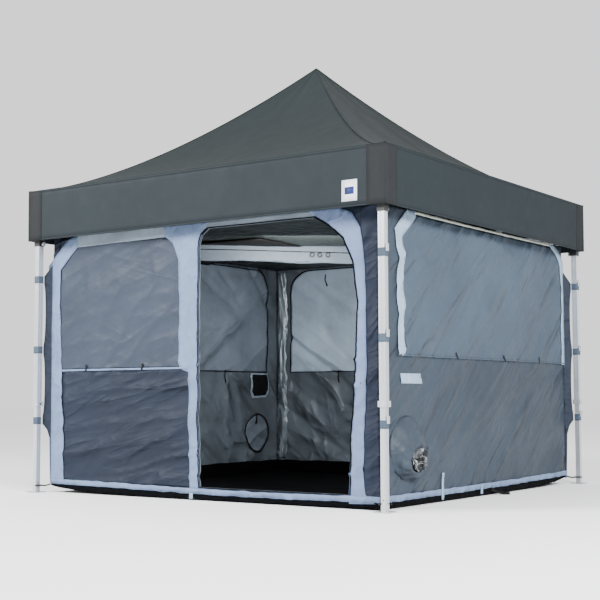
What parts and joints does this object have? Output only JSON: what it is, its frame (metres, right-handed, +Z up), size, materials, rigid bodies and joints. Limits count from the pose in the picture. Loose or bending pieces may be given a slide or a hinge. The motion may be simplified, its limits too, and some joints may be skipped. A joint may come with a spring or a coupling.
{
  "type": "pop-up canopy tent",
  "caption": "Pop-up canopy on telescoping legs with a folding scissor frame, and a walled inner tent strapped to the legs under it.",
  "frame": {"origin": "centre of the footprint, on the ground under the roof peak", "axes": "Z up; the doorway wall faces -Y, the wall with the open sleeve port faces +X"},
  "size_m": [3.04, 3.04, 3.193],
  "materials": {
    "black_plastic": "fine grain",
    "cover_fabric": "woven polyester",
    "wall_fabric": "coated polyester",
    "floor_fabric": "coarse dark weave",
    "aluminium": "satin anodised",
    "grey_plastic": "satin"
  },
  "bodies": {
    "frame_centre": {"upper_hub": "black_plastic", "canopy_cover": "cover_fabric", "tent_walls": "wall_fabric", "tent_ceiling": "wall_fabric", "tent_floor": "floor_fabric", "corner_wings": "floor_fabric"},
    "front_centre_bar_falling": {"front_centre_bar_falling": "aluminium"},
    "front_centre_bar_rising": {"front_centre_bar_rising": "aluminium"},
    "front_lower_middle_hub": {"front_lower_middle_hub": "black_plastic"},
    "front_upper_middle_hub": {"front_upper_middle_hub": "black_plastic"},
    "lower_hub": {"lower_hub": "black_plastic"},
    "peak_pole": {"peak_pole": "aluminium"},
    "front_edge_bar_to_right_slider": {"front_edge_bar_to_right_slider": "aluminium"},
    "front_edge_bar_to_right_leg_top": {"front_edge_bar_to_right_leg_top": "aluminium"},
    "front_edge_bar_to_left_slider": {"front_edge_bar_to_left_slider": "aluminium"},
    "front_edge_bar_to_left_leg_top": {"front_edge_bar_to_left_leg_top": "aluminium"},
    "right_centre_bar_falling": {"right_centre_bar_falling": "aluminium"},
    "right_centre_bar_rising": {"right_centre_bar_rising": "aluminium"},
    "right_lower_middle_hub": {"right_lower_middle_hub": "black_plastic"},
    "right_upper_middle_hub": {"right_upper_middle_hub": "black_plastic"},
    "right_edge_bar_to_back_slider": {"right_edge_bar_to_back_slider": "aluminium"},
    "right_edge_bar_to_back_leg_top": {"right_edge_bar_to_back_leg_top": "aluminium"},
    "right_edge_bar_to_front_slider": {"right_edge_bar_to_front_slider": "aluminium"},
    "right_edge_bar_to_front_leg_top": {"right_edge_bar_to_front_leg_top": "aluminium"},
    "back_centre_bar_falling": {"back_centre_bar_falling": "aluminium"},
    "back_centre_bar_rising": {"back_centre_bar_rising": "aluminium"},
    "back_lower_middle_hub": {"back_lower_middle_hub": "black_plastic"},
    "back_upper_middle_hub": {"back_upper_middle_hub": "black_plastic"},
    "back_edge_bar_to_left_slider": {"back_edge_bar_to_left_slider": "aluminium"},
    "back_edge_bar_to_left_leg_top": {"back_edge_bar_to_left_leg_top": "aluminium"},
    "back_edge_bar_to_right_slider": {"back_edge_bar_to_right_slider": "aluminium"},
    "back_edge_bar_to_right_leg_top": {"back_edge_bar_to_right_leg_top": "aluminium"},
    "left_centre_bar_falling": {"left_centre_bar_falling": "aluminium"},
    "left_centre_bar_rising": {"left_centre_bar_rising": "aluminium"},
    "left_lower_middle_hub": {"left_lower_middle_hub": "black_plastic"},
    "left_upper_middle_hub": {"left_upper_middle_hub": "black_plastic"},
    "left_edge_bar_to_front_slider": {"left_edge_bar_to_front_slider": "aluminium"},
    "left_edge_bar_to_front_leg_top": {"left_edge_bar_to_front_leg_top": "aluminium"},
    "left_edge_bar_to_back_slider": {"left_edge_bar_to_back_slider": "aluminium"},
    "left_edge_bar_to_back_leg_top": {"left_edge_bar_to_back_leg_top": "aluminium"},
    "front_right_outer_leg": {"front_right_outer_leg": "aluminium"},
    "front_right_inner_leg": {"front_right_inner_leg": "aluminium"},
    "front_right_slider": {"front_right_slider": "black_plastic"},
    "front_right_pull_pin": {"front_right_pull_pin": "grey_plastic"},
    "front_right_height_button": {"front_right_height_button": "black_plastic"},
    "back_right_outer_leg": {"back_right_outer_leg": "aluminium"},
    "back_right_inner_leg": {"back_right_inner_leg": "aluminium"},
    "back_right_slider": {"back_right_slider": "black_plastic"},
    "back_right_pull_pin": {"back_right_pull_pin": "grey_plastic"},
    "back_right_height_button": {"back_right_height_button": "black_plastic"},
    "back_left_outer_leg": {"back_left_outer_leg": "aluminium"},
    "back_left_inner_leg": {"back_left_inner_leg": "aluminium"},
    "back_left_slider": {"back_left_slider": "black_plastic"},
    "back_left_pull_pin": {"back_left_pull_pin": "grey_plastic"},
    "back_left_height_button": {"back_left_height_button": "black_plastic"},
    "front_left_outer_leg": {"front_left_outer_leg": "aluminium"},
    "front_left_inner_leg": {"front_left_inner_leg": "aluminium"},
    "front_left_slider": {"front_left_slider": "black_plastic"},
    "front_left_pull_pin": {"front_left_pull_pin": "grey_plastic"},
    "front_left_height_button": {"front_left_height_button": "black_plastic"}
  },
  "joints": [
    {"name": "frame_fold", "type": "hinge", "parent": "frame_centre", "child": "front_centre_bar_falling", "pos_m": [0, -0.045, 2.14], "axis": [1, 0, 0], "range_deg": [0, 73], "deforming": ["canopy_cover", "tent_walls", "tent_ceiling", "tent_floor", "corner_wings"]},
    {"name": "front_centre_crossing", "type": "hinge", "parent": "front_centre_bar_falling", "child": "front_centre_bar_rising", "pos_m": [0, -0.735, 2], "axis": [-1, 0, 0], "range_deg": [0, 147]},
    {"name": "front_lower_hub_pivot", "type": "hinge", "parent": "front_centre_bar_falling", "child": "front_lower_middle_hub", "pos_m": [0, -1.425, 1.86], "axis": [-1, 0, 0], "range_deg": [0, 73.5]},
    {"name": "front_upper_hub_pivot", "type": "hinge", "parent": "front_centre_bar_rising", "child": "front_upper_middle_hub", "pos_m": [0, -1.425, 2.14], "axis": [1, 0, 0], "range_deg": [0, 73.5]},
    {"name": "lower_hub_pivot", "type": "hinge", "parent": "front_centre_bar_rising", "child": "lower_hub", "pos_m": [0, -0.045, 1.86], "axis": [1, 0, 0], "range_deg": [0, 73.5]},
    {"name": "peak_pole_slide", "type": "slide", "parent": "frame_centre", "child": "peak_pole", "axis": [0, 0, -1], "range_m": [0, 0.953]},
    {"name": "front_right_edge_bar_pivot", "type": "hinge", "parent": "front_upper_middle_hub", "child": "front_edge_bar_to_right_slider", "pos_m": [0.035, -1.46, 2.14], "axis": [0, 1, 0], "range_deg": [0, 73.5]},
    {"name": "front_right_edge_crossing", "type": "hinge", "parent": "front_edge_bar_to_right_slider", "child": "front_edge_bar_to_right_leg_top", "pos_m": [0.725, -1.46, 2], "axis": [0, -1, 0], "range_deg": [0, 147]},
    {"name": "front_left_edge_bar_pivot", "type": "hinge", "parent": "front_upper_middle_hub", "child": "front_edge_bar_to_left_slider", "pos_m": [-0.035, -1.46, 2.14], "axis": [0, -1, 0], "range_deg": [0, 73.5]},
    {"name": "front_left_edge_crossing", "type": "hinge", "parent": "front_edge_bar_to_left_slider", "child": "front_edge_bar_to_left_leg_top", "pos_m": [-0.725, -1.46, 2], "axis": [0, 1, 0], "range_deg": [0, 147]},
    {"name": "right_centre_bar_pivot", "type": "hinge", "parent": "frame_centre", "child": "right_centre_bar_falling", "pos_m": [0.045, 0, 2.14], "axis": [0, 1, 0], "range_deg": [0, 73.5]},
    {"name": "right_centre_crossing", "type": "hinge", "parent": "right_centre_bar_falling", "child": "right_centre_bar_rising", "pos_m": [0.735, 0, 2], "axis": [0, -1, 0], "range_deg": [0, 147]},
    {"name": "right_lower_hub_pivot", "type": "hinge", "parent": "right_centre_bar_falling", "child": "right_lower_middle_hub", "pos_m": [1.425, 0, 1.86], "axis": [0, -1, 0], "range_deg": [0, 73.5]},
    {"name": "right_upper_hub_pivot", "type": "hinge", "parent": "right_centre_bar_rising", "child": "right_upper_middle_hub", "pos_m": [1.425, 0, 2.14], "axis": [0, 1, 0], "range_deg": [0, 73.5]},
    {"name": "right_back_edge_bar_pivot", "type": "hinge", "parent": "right_upper_middle_hub", "child": "right_edge_bar_to_back_slider", "pos_m": [1.46, 0.035, 2.14], "axis": [-1, 0, 0], "range_deg": [0, 73.5]},
    {"name": "right_back_edge_crossing", "type": "hinge", "parent": "right_edge_bar_to_back_slider", "child": "right_edge_bar_to_back_leg_top", "pos_m": [1.46, 0.725, 2], "axis": [1, 0, 0], "range_deg": [0, 147]},
    {"name": "right_front_edge_bar_pivot", "type": "hinge", "parent": "right_upper_middle_hub", "child": "right_edge_bar_to_front_slider", "pos_m": [1.46, -0.035, 2.14], "axis": [1, 0, 0], "range_deg": [0, 73.5]},
    {"name": "right_front_edge_crossing", "type": "hinge", "parent": "right_edge_bar_to_front_slider", "child": "right_edge_bar_to_front_leg_top", "pos_m": [1.46, -0.725, 2], "axis": [-1, 0, 0], "range_deg": [0, 147]},
    {"name": "back_centre_bar_pivot", "type": "hinge", "parent": "frame_centre", "child": "back_centre_bar_falling", "pos_m": [0, 0.045, 2.14], "axis": [-1, 0, 0], "range_deg": [0, 73.5]},
    {"name": "back_centre_crossing", "type": "hinge", "parent": "back_centre_bar_falling", "child": "back_centre_bar_rising", "pos_m": [0, 0.735, 2], "axis": [1, 0, 0], "range_deg": [0, 147]},
    {"name": "back_lower_hub_pivot", "type": "hinge", "parent": "back_centre_bar_falling", "child": "back_lower_middle_hub", "pos_m": [0, 1.425, 1.86], "axis": [1, 0, 0], "range_deg": [0, 73.5]},
    {"name": "back_upper_hub_pivot", "type": "hinge", "parent": "back_centre_bar_rising", "child": "back_upper_middle_hub", "pos_m": [0, 1.425, 2.14], "axis": [-1, 0, 0], "range_deg": [0, 73.5]},
    {"name": "back_left_edge_bar_pivot", "type": "hinge", "parent": "back_upper_middle_hub", "child": "back_edge_bar_to_left_slider", "pos_m": [-0.035, 1.46, 2.14], "axis": [0, -1, 0], "range_deg": [0, 73.5]},
    {"name": "back_left_edge_crossing", "type": "hinge", "parent": "back_edge_bar_to_left_slider", "child": "back_edge_bar_to_left_leg_top", "pos_m": [-0.725, 1.46, 2], "axis": [0, 1, 0], "range_deg": [0, 147]},
    {"name": "back_right_edge_bar_pivot", "type": "hinge", "parent": "back_upper_middle_hub", "child": "back_edge_bar_to_right_slider", "pos_m": [0.035, 1.46, 2.14], "axis": [0, 1, 0], "range_deg": [0, 73.5]},
    {"name": "back_right_edge_crossing", "type": "hinge", "parent": "back_edge_bar_to_right_slider", "child": "back_edge_bar_to_right_leg_top", "pos_m": [0.725, 1.46, 2], "axis": [0, -1, 0], "range_deg": [0, 147]},
    {"name": "left_centre_bar_pivot", "type": "hinge", "parent": "frame_centre", "child": "left_centre_bar_falling", "pos_m": [-0.045, 0, 2.14], "axis": [0, -1, 0], "range_deg": [0, 73.5]},
    {"name": "left_centre_crossing", "type": "hinge", "parent": "left_centre_bar_falling", "child": "left_centre_bar_rising", "pos_m": [-0.735, 0, 2], "axis": [0, 1, 0], "range_deg": [0, 147]},
    {"name": "left_lower_hub_pivot", "type": "hinge", "parent": "left_centre_bar_falling", "child": "left_lower_middle_hub", "pos_m": [-1.425, 0, 1.86], "axis": [0, 1, 0], "range_deg": [0, 73.5]},
    {"name": "left_upper_hub_pivot", "type": "hinge", "parent": "left_centre_bar_rising", "child": "left_upper_middle_hub", "pos_m": [-1.425, 0, 2.14], "axis": [0, -1, 0], "range_deg": [0, 73.5]},
    {"name": "left_front_edge_bar_pivot", "type": "hinge", "parent": "left_upper_middle_hub", "child": "left_edge_bar_to_front_slider", "pos_m": [-1.46, -0.035, 2.14], "axis": [1, 0, 0], "range_deg": [0, 73.5]},
    {"name": "left_front_edge_crossing", "type": "hinge", "parent": "left_edge_bar_to_front_slider", "child": "left_edge_bar_to_front_leg_top", "pos_m": [-1.46, -0.725, 2], "axis": [-1, 0, 0], "range_deg": [0, 147]},
    {"name": "left_back_edge_bar_pivot", "type": "hinge", "parent": "left_upper_middle_hub", "child": "left_edge_bar_to_back_slider", "pos_m": [-1.46, 0.035, 2.14], "axis": [-1, 0, 0], "range_deg": [0, 73.5]},
    {"name": "left_back_edge_crossing", "type": "hinge", "parent": "left_edge_bar_to_back_slider", "child": "left_edge_bar_to_back_leg_top", "pos_m": [-1.46, 0.725, 2], "axis": [1, 0, 0], "range_deg": [0, 147]},
    {"name": "front_right_leg_pivot", "type": "hinge", "parent": "front_edge_bar_to_right_leg_top", "child": "front_right_outer_leg", "pos_m": [1.415, -1.46, 2.14], "axis": [0, 1, 0], "range_deg": [0, 73.5]},
    {"name": "front_right_slider_pivot", "type": "hinge", "parent": "front_edge_bar_to_right_slider", "child": "front_right_slider", "pos_m": [1.415, -1.46, 1.86], "axis": [0, -1, 0], "range_deg": [0, 73.5]},
    {"name": "front_right_leg_height", "type": "slide", "parent": "front_right_outer_leg", "child": "front_right_inner_leg", "axis": [0, 0, 1], "range_m": [0, 0.4]},
    {"name": "front_right_pin_pull", "type": "slide", "parent": "front_right_slider", "child": "front_right_pull_pin", "axis": [0, 1, 0], "range_m": [0, 0.008], "stiffness_N_per_m": 600},
    {"name": "front_right_button_press", "type": "slide", "parent": "front_right_outer_leg", "child": "front_right_height_button", "axis": [0, -1, 0], "range_m": [0, 0.0025], "stiffness_N_per_m": 1000},
    {"name": "back_right_leg_pivot", "type": "hinge", "parent": "right_edge_bar_to_back_leg_top", "child": "back_right_outer_leg", "pos_m": [1.46, 1.415, 2.14], "axis": [-1, 0, 0], "range_deg": [0, 73.5]},
    {"name": "back_right_slider_pivot", "type": "hinge", "parent": "right_edge_bar_to_back_slider", "child": "back_right_slider", "pos_m": [1.46, 1.415, 1.86], "axis": [1, 0, 0], "range_deg": [0, 73.5]},
    {"name": "back_right_leg_height", "type": "slide", "parent": "back_right_outer_leg", "child": "back_right_inner_leg", "axis": [0, 0, 1], "range_m": [0, 0.4]},
    {"name": "back_right_pin_pull", "type": "slide", "parent": "back_right_slider", "child": "back_right_pull_pin", "axis": [-1, 0, 0], "range_m": [0, 0.008], "stiffness_N_per_m": 600},
    {"name": "back_right_button_press", "type": "slide", "parent": "back_right_outer_leg", "child": "back_right_height_button", "axis": [1, 0, 0], "range_m": [0, 0.0025], "stiffness_N_per_m": 1000},
    {"name": "back_left_leg_pivot", "type": "hinge", "parent": "back_edge_bar_to_left_leg_top", "child": "back_left_outer_leg", "pos_m": [-1.415, 1.46, 2.14], "axis": [0, -1, 0], "range_deg": [0, 73.5]},
    {"name": "back_left_slider_pivot", "type": "hinge", "parent": "back_edge_bar_to_left_slider", "child": "back_left_slider", "pos_m": [-1.415, 1.46, 1.86], "axis": [0, 1, 0], "range_deg": [0, 73.5]},
    {"name": "back_left_leg_height", "type": "slide", "parent": "back_left_outer_leg", "child": "back_left_inner_leg", "axis": [0, 0, 1], "range_m": [0, 0.4]},
    {"name": "back_left_pin_pull", "type": "slide", "parent": "back_left_slider", "child": "back_left_pull_pin", "axis": [0, -1, 0], "range_m": [0, 0.008], "stiffness_N_per_m": 600},
    {"name": "back_left_button_press", "type": "slide", "parent": "back_left_outer_leg", "child": "back_left_height_button", "axis": [0, 1, 0], "range_m": [0, 0.0025], "stiffness_N_per_m": 1000},
    {"name": "front_left_leg_pivot", "type": "hinge", "parent": "left_edge_bar_to_front_leg_top", "child": "front_left_outer_leg", "pos_m": [-1.46, -1.415, 2.14], "axis": [1, 0, 0], "range_deg": [0, 73.5]},
    {"name": "front_left_slider_pivot", "type": "hinge", "parent": "left_edge_bar_to_front_slider", "child": "front_left_slider", "pos_m": [-1.46, -1.415, 1.86], "axis": [-1, 0, 0], "range_deg": [0, 73.5]},
    {"name": "front_left_leg_height", "type": "slide", "parent": "front_left_outer_leg", "child": "front_left_inner_leg", "axis": [0, 0, 1], "range_m": [0, 0.4]},
    {"name": "front_left_pin_pull", "type": "slide", "parent": "front_left_slider", "child": "front_left_pull_pin", "axis": [1, 0, 0], "range_m": [0, 0.008], "stiffness_N_per_m": 600},
    {"name": "front_left_button_press", "type": "slide", "parent": "front_left_outer_leg", "child": "front_left_height_button", "axis": [-1, 0, 0], "range_m": [0, 0.0025], "stiffness_N_per_m": 1000}
  ],
  "couplings": [
    {"joint": "front_centre_crossing", "follows": "frame_fold", "ratio": 2},
    {"joint": "front_lower_hub_pivot", "follows": "frame_fold", "ratio": 1},
    {"joint": "front_upper_hub_pivot", "follows": "frame_fold", "ratio": 1},
    {"joint": "lower_hub_pivot", "follows": "frame_fold", "ratio": 1},
    {"joint": "peak_pole_slide", "follows": "frame_fold", "m_per_rad": 0.74563},
    {"joint": "front_right_edge_bar_pivot", "follows": "frame_fold", "ratio": 1},
    {"joint": "front_right_edge_crossing", "follows": "frame_fold", "ratio": 2},
    {"joint": "front_left_edge_bar_pivot", "follows": "frame_fold", "ratio": 1},
    {"joint": "front_left_edge_crossing", "follows": "frame_fold", "ratio": 2},
    {"joint": "right_centre_bar_pivot", "follows": "frame_fold", "ratio": 1},
    {"joint": "right_centre_crossing", "follows": "frame_fold", "ratio": 2},
    {"joint": "right_lower_hub_pivot", "follows": "frame_fold", "ratio": 1},
    {"joint": "right_upper_hub_pivot", "follows": "frame_fold", "ratio": 1},
    {"joint": "right_back_edge_bar_pivot", "follows": "frame_fold", "ratio": 1},
    {"joint": "right_back_edge_crossing", "follows": "frame_fold", "ratio": 2},
    {"joint": "right_front_edge_bar_pivot", "follows": "frame_fold", "ratio": 1},
    {"joint": "right_front_edge_crossing", "follows": "frame_fold", "ratio": 2},
    {"joint": "back_centre_bar_pivot", "follows": "frame_fold", "ratio": 1},
    {"joint": "back_centre_crossing", "follows": "frame_fold", "ratio": 2},
    {"joint": "back_lower_hub_pivot", "follows": "frame_fold", "ratio": 1},
    {"joint": "back_upper_hub_pivot", "follows": "frame_fold", "ratio": 1},
    {"joint": "back_left_edge_bar_pivot", "follows": "frame_fold", "ratio": 1},
    {"joint": "back_left_edge_crossing", "follows": "frame_fold", "ratio": 2},
    {"joint": "back_right_edge_bar_pivot", "follows": "frame_fold", "ratio": 1},
    {"joint": "back_right_edge_crossing", "follows": "frame_fold", "ratio": 2},
    {"joint": "left_centre_bar_pivot", "follows": "frame_fold", "ratio": 1},
    {"joint": "left_centre_crossing", "follows": "frame_fold", "ratio": 2},
    {"joint": "left_lower_hub_pivot", "follows": "frame_fold", "ratio": 1},
    {"joint": "left_upper_hub_pivot", "follows": "frame_fold", "ratio": 1},
    {"joint": "left_front_edge_bar_pivot", "follows": "frame_fold", "ratio": 1},
    {"joint": "left_front_edge_crossing", "follows": "frame_fold", "ratio": 2},
    {"joint": "left_back_edge_bar_pivot", "follows": "frame_fold", "ratio": 1},
    {"joint": "left_back_edge_crossing", "follows": "frame_fold", "ratio": 2},
    {"joint": "front_right_leg_pivot", "follows": "frame_fold", "ratio": 1},
    {"joint": "front_right_slider_pivot", "follows": "frame_fold", "ratio": 1},
    {"joint": "back_right_leg_pivot", "follows": "frame_fold", "ratio": 1},
    {"joint": "back_right_slider_pivot", "follows": "frame_fold", "ratio": 1},
    {"joint": "back_left_leg_pivot", "follows": "frame_fold", "ratio": 1},
    {"joint": "back_left_slider_pivot", "follows": "frame_fold", "ratio": 1},
    {"joint": "front_left_leg_pivot", "follows": "frame_fold", "ratio": 1},
    {"joint": "front_left_slider_pivot", "follows": "frame_fold", "ratio": 1}
  ]
}
